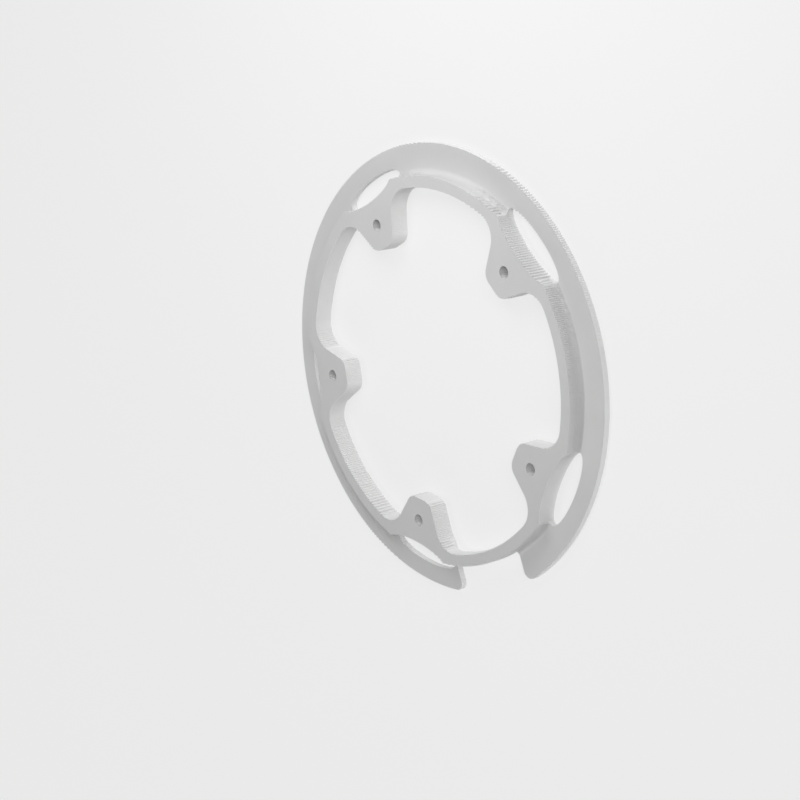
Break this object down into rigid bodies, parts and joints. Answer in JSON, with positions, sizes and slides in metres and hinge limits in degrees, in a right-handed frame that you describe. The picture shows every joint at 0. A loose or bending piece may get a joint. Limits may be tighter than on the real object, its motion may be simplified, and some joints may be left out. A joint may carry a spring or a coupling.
{
  "type": "bicycle chain guard",
  "caption": "Flat ring chain guard with a raised inner band, inward bolt tabs, oval windows behind them and a wide gap in its flange.",
  "frame": {"origin": "centre of the bolt circle, on the flat back face", "axes": "+Z out of the raised side along the crank axis; +Y through the middle of one tab, the gap in the flange near -Y"},
  "size_m": [0.185, 0.1843, 0.0083],
  "materials": {
    "plastic": "matte, as printed"
  },
  "bodies": {
    "root": {"chain_guard": "plastic"}
  },
  "joints": []
}
